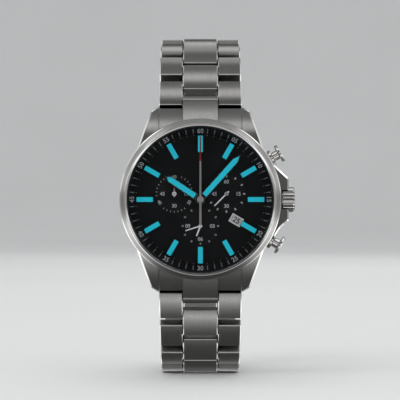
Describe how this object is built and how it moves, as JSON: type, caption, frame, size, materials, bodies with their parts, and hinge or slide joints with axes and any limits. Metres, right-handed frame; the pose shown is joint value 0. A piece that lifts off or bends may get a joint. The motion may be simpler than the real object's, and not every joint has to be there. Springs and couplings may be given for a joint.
{
  "type": "chronograph wristwatch",
  "caption": "Round steel chronograph wristwatch with luminous baton hands, recessed sub-dials, fluted crown, push-pieces and a folding-clasp link bracelet.",
  "frame": {"origin": "centre of the case back's flat outer face, on the axis of the centre hands", "axes": "+Z towards 12 o'clock, +X towards the crown at 3 o'clock, +Y out of the case back into the wrist, so the dial faces -Y"},
  "size_m": [0.0461, 0.0579, 0.091],
  "materials": {
    "brushed_steel_case": "satin brushed with polished edges",
    "case_back_steel": "brushed",
    "bracelet_steel": "satin brushed",
    "polished_steel": "polished",
    "sapphire": "clear",
    "seal_rubber": "matte",
    "dial_black": "matte",
    "luminous_paint": "matte luminous",
    "hand_steel": "satin",
    "chrono_hand_paint": "satin",
    "white_hand_paint": "satin",
    "date_white": "matte",
    "brass": "polished",
    "magnet_steel": "satin",
    "nickel_plate": "nickel plated",
    "screw_steel": "polished",
    "cell_steel": "satin",
    "circuit_green": "solder mask",
    "copper_wire": "enamelled",
    "ring_plastic": "moulded"
  },
  "bodies": {
    "case": {"case_middle": "brushed_steel_case", "bezel": "brushed_steel_case", "crystal": "sapphire", "case_gaskets": "seal_rubber", "chapter_ring": "dial_black", "dial": "dial_black", "hour_markers": "luminous_paint", "case_back": "case_back_steel", "movement_ring": "ring_plastic", "main_plate": "nickel_plate", "train_bridge": "nickel_plate", "movement_screws": "screw_steel", "battery": "cell_steel", "battery_clamp": "nickel_plate", "circuit_board": "circuit_green", "motor_coils": "copper_wire", "crown_and_pusher_tubes": "polished_steel", "pusher_springs": "screw_steel", "end_links": "brushed_steel_case", "spring_bars": "polished_steel"},
    "minute_arm": {"minute_hand": "hand_steel", "cannon_pinion": "brass"},
    "hour_arm": {"hour_hand": "hand_steel", "hour_wheel": "brass"},
    "motion_wheel": {"minute_wheel": "brass"},
    "chrono_arm": {"chrono_seconds_hand": "chrono_hand_paint"},
    "counter_arm": {"counter_hand": "chrono_hand_paint"},
    "seconds_arm": {"small_seconds_hand": "white_hand_paint", "seconds_wheel": "brass"},
    "third": {"third_wheel": "brass"},
    "centre": {"centre_wheel": "brass"},
    "fifth": {"fifth_wheel": "brass"},
    "rotor": {"motor_rotor": "magnet_steel"},
    "alarm_minute_arm": {"alarm_minute_hand": "white_hand_paint"},
    "alarm_hour_arm": {"alarm_hour_hand": "white_hand_paint"},
    "date": {"date_disc": "date_white"},
    "crown_slider": {"crown_gasket": "seal_rubber"},
    "crown_knob": {"crown": "polished_steel", "winding_stem": "screw_steel"},
    "pusher_upper_piece": {"pusher_upper": "polished_steel"},
    "pusher_lower_piece": {"pusher_lower": "polished_steel"},
    "bracelet_12_1": {"link_12_side_1": "bracelet_steel"},
    "bracelet_12_2": {"link_12_side_2": "bracelet_steel"},
    "bracelet_12_3": {"link_12_side_3": "bracelet_steel"},
    "bracelet_12_4": {"link_12_side_4": "bracelet_steel"},
    "bracelet_12_5": {"link_12_side_5": "bracelet_steel"},
    "bracelet_12_6": {"link_12_side_6": "bracelet_steel"},
    "bracelet_12_7": {"link_12_side_7": "bracelet_steel"},
    "bracelet_6_1": {"link_6_side_1": "bracelet_steel"},
    "bracelet_6_2": {"link_6_side_2": "bracelet_steel"},
    "bracelet_6_3": {"link_6_side_3": "bracelet_steel"},
    "bracelet_6_4": {"link_6_side_4": "bracelet_steel"},
    "bracelet_6_5": {"link_6_side_5": "bracelet_steel"},
    "bracelet_6_6": {"link_6_side_6": "bracelet_steel"},
    "bracelet_6_7": {"link_6_side_7": "bracelet_steel"},
    "lower_blade": {"clasp_lower_blade": "polished_steel"},
    "upper_blade": {"clasp_upper_blade": "polished_steel"},
    "cover": {"clasp_cover": "bracelet_steel"},
    "button_right": {"clasp_button_right": "polished_steel"},
    "button_left": {"clasp_button_left": "polished_steel"}
  },
  "joints": [
    {"name": "minute_hand_turn", "type": "hinge", "parent": "case", "child": "minute_arm", "pos_m": [0, -0.0086, 0], "axis": [0, 1, 0], "continuous": true},
    {"name": "hour_hand_turn", "type": "hinge", "parent": "case", "child": "hour_arm", "pos_m": [0, -0.00805, 0], "axis": [0, 1, 0], "continuous": true},
    {"name": "minute_wheel_turn", "type": "hinge", "parent": "case", "child": "motion_wheel", "pos_m": [-0.00103, -0.0056, -0.00282], "axis": [0, 1, 0], "continuous": true},
    {"name": "chrono_seconds_turn", "type": "hinge", "parent": "case", "child": "chrono_arm", "pos_m": [0, -0.0091, 0], "axis": [0, 1, 0], "continuous": true},
    {"name": "counter_turn", "type": "hinge", "parent": "case", "child": "counter_arm", "pos_m": [-0.00685, -0.0074, 0.0015], "axis": [0, 1, 0], "continuous": true},
    {"name": "small_seconds_turn", "type": "hinge", "parent": "case", "child": "seconds_arm", "pos_m": [0.00685, -0.0074, 0.0015], "axis": [0, 1, 0], "continuous": true},
    {"name": "third_wheel_turn", "type": "hinge", "parent": "case", "child": "third", "pos_m": [0.00406, -0.0028, -0.00148], "axis": [0, 1, 0], "continuous": true},
    {"name": "centre_wheel_turn", "type": "hinge", "parent": "case", "child": "centre", "pos_m": [0, -0.004, 0], "axis": [0, 1, 0], "continuous": true},
    {"name": "fifth_wheel_turn", "type": "hinge", "parent": "case", "child": "fifth", "pos_m": [0.00772, -0.004, 0.00475], "axis": [0, 1, 0], "continuous": true},
    {"name": "rotor_turn", "type": "hinge", "parent": "case", "child": "rotor", "pos_m": [0.00722, -0.0032, 0.00758], "axis": [0, 1, 0], "continuous": true},
    {"name": "alarm_minute_turn", "type": "hinge", "parent": "case", "child": "alarm_minute_arm", "pos_m": [0, -0.0076, -0.00695], "axis": [0, 1, 0], "continuous": true},
    {"name": "alarm_hour_turn", "type": "hinge", "parent": "case", "child": "alarm_hour_arm", "pos_m": [0, -0.0074, -0.00695], "axis": [0, 1, 0], "continuous": true},
    {"name": "date_disc_turn", "type": "hinge", "parent": "case", "child": "date", "pos_m": [0, -0.00635, 0], "axis": [0, 1, 0], "continuous": true},
    {"name": "crown_pull", "type": "slide", "parent": "case", "child": "crown_slider", "axis": [1, 0, 0], "range_m": [0, 0.001]},
    {"name": "crown_turn", "type": "hinge", "parent": "crown_slider", "child": "crown_knob", "pos_m": [0.022, -0.0049, 0], "axis": [1, 0, 0], "continuous": true},
    {"name": "pusher_upper_press", "type": "slide", "parent": "case", "child": "pusher_upper_piece", "axis": [-0.866, 0, -0.5], "range_m": [0, 0.001], "stiffness_N_per_m": 200, "deforming": ["pusher_springs"]},
    {"name": "pusher_lower_press", "type": "slide", "parent": "case", "child": "pusher_lower_piece", "axis": [-0.866, 0, 0.5], "range_m": [0, 0.001], "stiffness_N_per_m": 200, "deforming": ["pusher_springs"]},
    {"name": "link_12_side_1_hinge", "type": "hinge", "parent": "case", "child": "bracelet_12_1", "pos_m": [0, -0.0012, 0.0258], "axis": [-1, 0, 0], "range_deg": [-26, 0]},
    {"name": "link_12_side_2_hinge", "type": "hinge", "parent": "bracelet_12_1", "child": "bracelet_12_2", "pos_m": [0, 0.00248, 0.03335], "axis": [-1, 0, 0], "range_deg": [-20, 0]},
    {"name": "link_12_side_3_hinge", "type": "hinge", "parent": "bracelet_12_2", "child": "bracelet_12_3", "pos_m": [0, 0.00852, 0.03918], "axis": [-1, 0, 0], "range_deg": [-24, 0]},
    {"name": "link_12_side_4_hinge", "type": "hinge", "parent": "bracelet_12_3", "child": "bracelet_12_4", "pos_m": [0, 0.01642, 0.04206], "axis": [-1, 0, 0], "range_deg": [-26, 0]},
    {"name": "link_12_side_5_hinge", "type": "hinge", "parent": "bracelet_12_4", "child": "bracelet_12_5", "pos_m": [0, 0.02477, 0.04118], "axis": [-1, 0, 0], "range_deg": [-26, 0]},
    {"name": "link_12_side_6_hinge", "type": "hinge", "parent": "bracelet_12_5", "child": "bracelet_12_6", "pos_m": [0, 0.0319, 0.03673], "axis": [-1, 0, 0], "range_deg": [-22, 0]},
    {"name": "link_12_side_7_hinge", "type": "hinge", "parent": "bracelet_12_6", "child": "bracelet_12_7", "pos_m": [0, 0.03683, 0.02993], "axis": [-1, 0, 0], "range_deg": [-14.59, 0]},
    {"name": "link_6_side_1_hinge", "type": "hinge", "parent": "case", "child": "bracelet_6_1", "pos_m": [0, -0.0012, -0.0258], "axis": [1, 0, 0], "range_deg": [-17, 0]},
    {"name": "link_6_side_2_hinge", "type": "hinge", "parent": "bracelet_6_1", "child": "bracelet_6_2", "pos_m": [0, 0.00126, -0.03383], "axis": [1, 0, 0], "range_deg": [-19, 0]},
    {"name": "link_6_side_3_hinge", "type": "hinge", "parent": "bracelet_6_2", "child": "bracelet_6_3", "pos_m": [0, 0.00619, -0.04063], "axis": [1, 0, 0], "range_deg": [-24, 0]},
    {"name": "link_6_side_4_hinge", "type": "hinge", "parent": "bracelet_6_3", "child": "bracelet_6_4", "pos_m": [0, 0.01347, -0.04483], "axis": [1, 0, 0], "range_deg": [-26, 0]},
    {"name": "link_6_side_5_hinge", "type": "hinge", "parent": "bracelet_6_4", "child": "bracelet_6_5", "pos_m": [0, 0.02185, -0.04541], "axis": [1, 0, 0], "range_deg": [-24, 0]},
    {"name": "link_6_side_6_hinge", "type": "hinge", "parent": "bracelet_6_5", "child": "bracelet_6_6", "pos_m": [0, 0.02974, -0.04254], "axis": [1, 0, 0], "range_deg": [-21, 0]},
    {"name": "link_6_side_7_hinge", "type": "hinge", "parent": "bracelet_6_6", "child": "bracelet_6_7", "pos_m": [0, 0.03608, -0.03703], "axis": [1, 0, 0], "range_deg": [-21.95, 0]},
    {"name": "clasp_end_hinge", "type": "hinge", "parent": "bracelet_12_7", "child": "lower_blade", "pos_m": [0, 0.0399, 0.02211], "axis": [-1, 0, 0], "range_deg": [-25, 0]},
    {"name": "clasp_fold", "type": "hinge", "parent": "lower_blade", "child": "upper_blade", "pos_m": [0, 0.04154, -0.02156], "axis": [-1, 0, 0], "range_deg": [0, 150]},
    {"name": "clasp_cover_fold", "type": "hinge", "parent": "upper_blade", "child": "cover", "pos_m": [0, 0.04242, 0.01366], "axis": [-1, 0, 0], "range_deg": [-150, 0]},
    {"name": "button_right_press", "type": "slide", "parent": "cover", "child": "button_right", "axis": [-1, 0, 0], "range_m": [0, 0.0006], "stiffness_N_per_m": 60},
    {"name": "button_left_press", "type": "slide", "parent": "cover", "child": "button_left", "axis": [1, 0, 0], "range_m": [0, 0.0006], "stiffness_N_per_m": 60}
  ],
  "couplings": [
    {"joint": "hour_hand_turn", "follows": "minute_hand_turn", "ratio": 0.083333},
    {"joint": "minute_wheel_turn", "follows": "minute_hand_turn", "ratio": -0.33333},
    {"joint": "third_wheel_turn", "follows": "small_seconds_turn", "ratio": -0.13333},
    {"joint": "centre_wheel_turn", "follows": "small_seconds_turn", "ratio": 0.016667},
    {"joint": "fifth_wheel_turn", "follows": "small_seconds_turn", "ratio": -6},
    {"joint": "rotor_turn", "follows": "small_seconds_turn", "ratio": 30},
    {"joint": "alarm_hour_turn", "follows": "alarm_minute_turn", "ratio": 0.083333},
    {"joint": "clasp_cover_fold", "follows": "clasp_fold", "ratio": -1}
  ]
}
